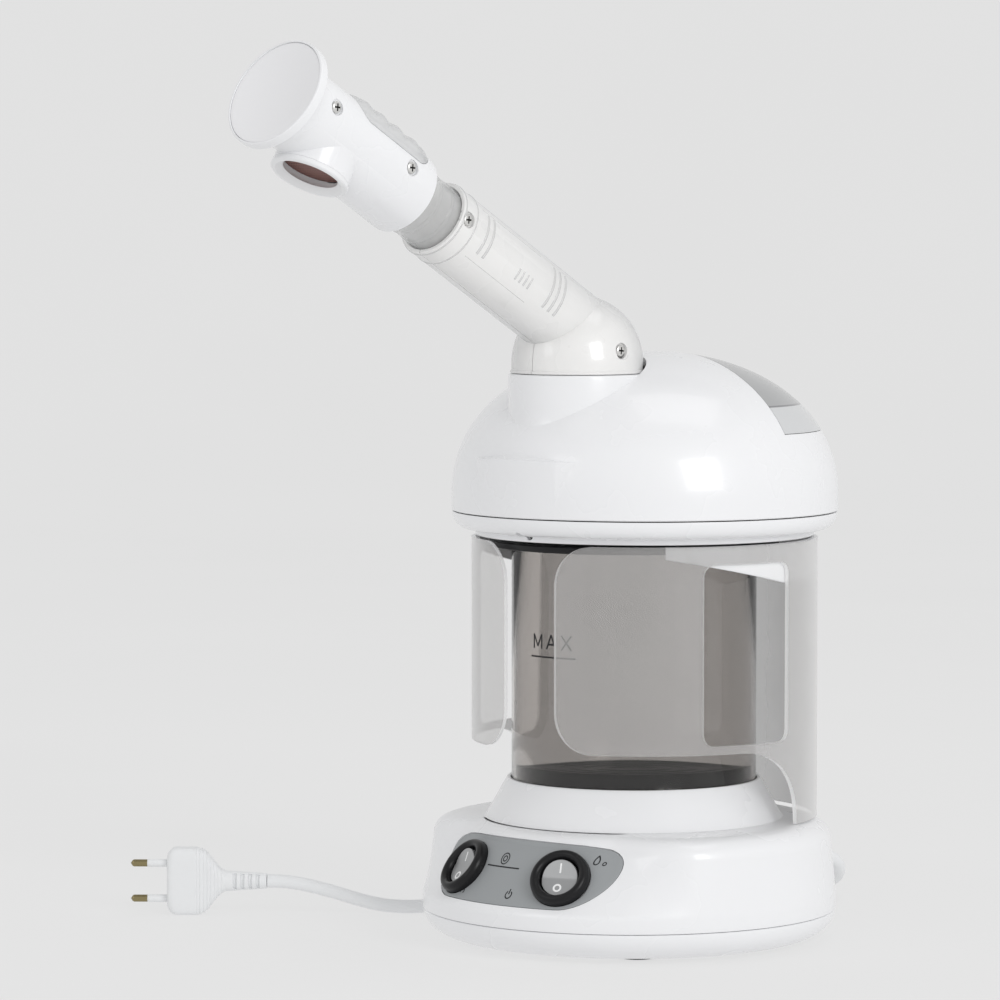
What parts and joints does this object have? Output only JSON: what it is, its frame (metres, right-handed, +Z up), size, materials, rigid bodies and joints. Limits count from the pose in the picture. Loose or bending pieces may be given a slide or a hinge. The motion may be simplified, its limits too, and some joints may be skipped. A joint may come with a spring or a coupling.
{
  "type": "facial steamer",
  "caption": "Table-top facial steamer: heater base, smoked water tank in a frosted guard, lift-off head, and a telescopic steam arm with a turning nozzle.",
  "frame": {"origin": "centre of the appliance's box without its cord, on the surface that its feet stand on", "axes": "+Z up, -Y to the front where the control panel and the steam arm face, +X to the right-hand side of someone who looks along +Y at the front"},
  "size_m": [0.3489, 0.4604, 0.45],
  "materials": {
    "white_gloss": "glossy white moulding",
    "white_satin": "satin white moulding",
    "panel_grey": "satin mid grey",
    "inlay_grey": "semi-gloss light grey",
    "black_gloss": "glossy black moulding",
    "black_matt": "matt black moulding",
    "rocker_silver": "silver plated, satin",
    "rubber": "dark grey rubber",
    "smoked_plastic": "smoked transparent moulding",
    "frosted_plastic": "frosted translucent moulding",
    "clear_plastic": "clear moulding",
    "steel": "bright steel",
    "board_green": "green laminate",
    "cap_grey": "pale grey satin face",
    "mesh_brown": "red-brown mesh",
    "cord_white": "soft white sheath",
    "pin_brass": "dull brass"
  },
  "bodies": {
    "base": {"base_shell": "white_gloss", "control_panel": "panel_grey", "base_tray": "white_gloss", "foot_front_left": "rubber", "foot_front_right": "rubber", "foot_rear_right": "rubber", "foot_rear_left": "rubber", "switch_housing_left": "black_gloss", "switch_housing_right": "black_gloss", "boiler_plate": "black_gloss", "heating_element": "steel", "thermostat": "black_matt", "tank_gasket": "rubber", "circuit_board": "board_green", "transformer": "black_matt", "ioniser_module": "black_matt", "water_tank": "smoked_plastic", "tank_flange": "black_gloss", "steam_guard": "frosted_plastic", "guard_band": "white_satin", "cord_gland": "cord_white", "cord_to_coil": "cord_white", "cord_to_plug": "cord_white", "cord_coil": "cord_white", "plug_body": "cord_white", "plug_pin_upper": "pin_brass", "plug_pin_lower": "pin_brass"},
    "rocker_left": {"rocker_left": "rocker_silver"},
    "rocker_right": {"rocker_right": "rocker_silver"},
    "head": {"head_dome": "white_gloss", "rear_inlay": "inlay_grey", "head_collar": "white_gloss", "steam_duct": "white_satin", "head_seal": "rubber", "swivel_ring": "white_satin"},
    "arm": {"arm_shell_right": "frosted_plastic", "arm_shell_left": "frosted_plastic", "arm_screw_upper": "steel", "arm_screw_lower": "steel"},
    "tube": {"telescopic_tube": "clear_plastic", "tube_stop_ring": "white_satin"},
    "nozzle": {"nozzle_shell": "white_gloss", "nozzle_screw_front": "steel", "nozzle_screw_rear": "steel", "finger_grip": "clear_plastic", "nozzle_cap": "cap_grey", "port_ring": "white_satin", "port_mesh": "mesh_brown"}
  },
  "joints": [
    {"name": "rocker_left_tip", "type": "hinge", "parent": "base", "child": "rocker_left", "pos_m": [-0.03204, -0.00949, 0.041], "axis": [0.9379, -0.3469, 0], "range_deg": [-18, 0]},
    {"name": "rocker_right_tip", "type": "hinge", "parent": "base", "child": "rocker_right", "pos_m": [0.03204, -0.00949, 0.041], "axis": [0.9379, 0.3469, 0], "range_deg": [-18, 0]},
    {"name": "head_lift", "type": "slide", "parent": "base", "child": "head", "axis": [0, 0, 1], "range_m": [0, 0.06]},
    {"name": "arm_swivel", "type": "hinge", "parent": "head", "child": "arm", "pos_m": [0, 0.03763, 0.29], "axis": [0, 0, 1], "continuous": true},
    {"name": "arm_extend", "type": "slide", "parent": "arm", "child": "tube", "axis": [0, -0.8746, 0.4848], "range_m": [-0.023, 0.045]},
    {"name": "nozzle_turn", "type": "hinge", "parent": "tube", "child": "nozzle", "pos_m": [0, 0.03763, 0.3085], "axis": [0, -0.8746, 0.4848], "range_deg": [-90, 90]}
  ]
}
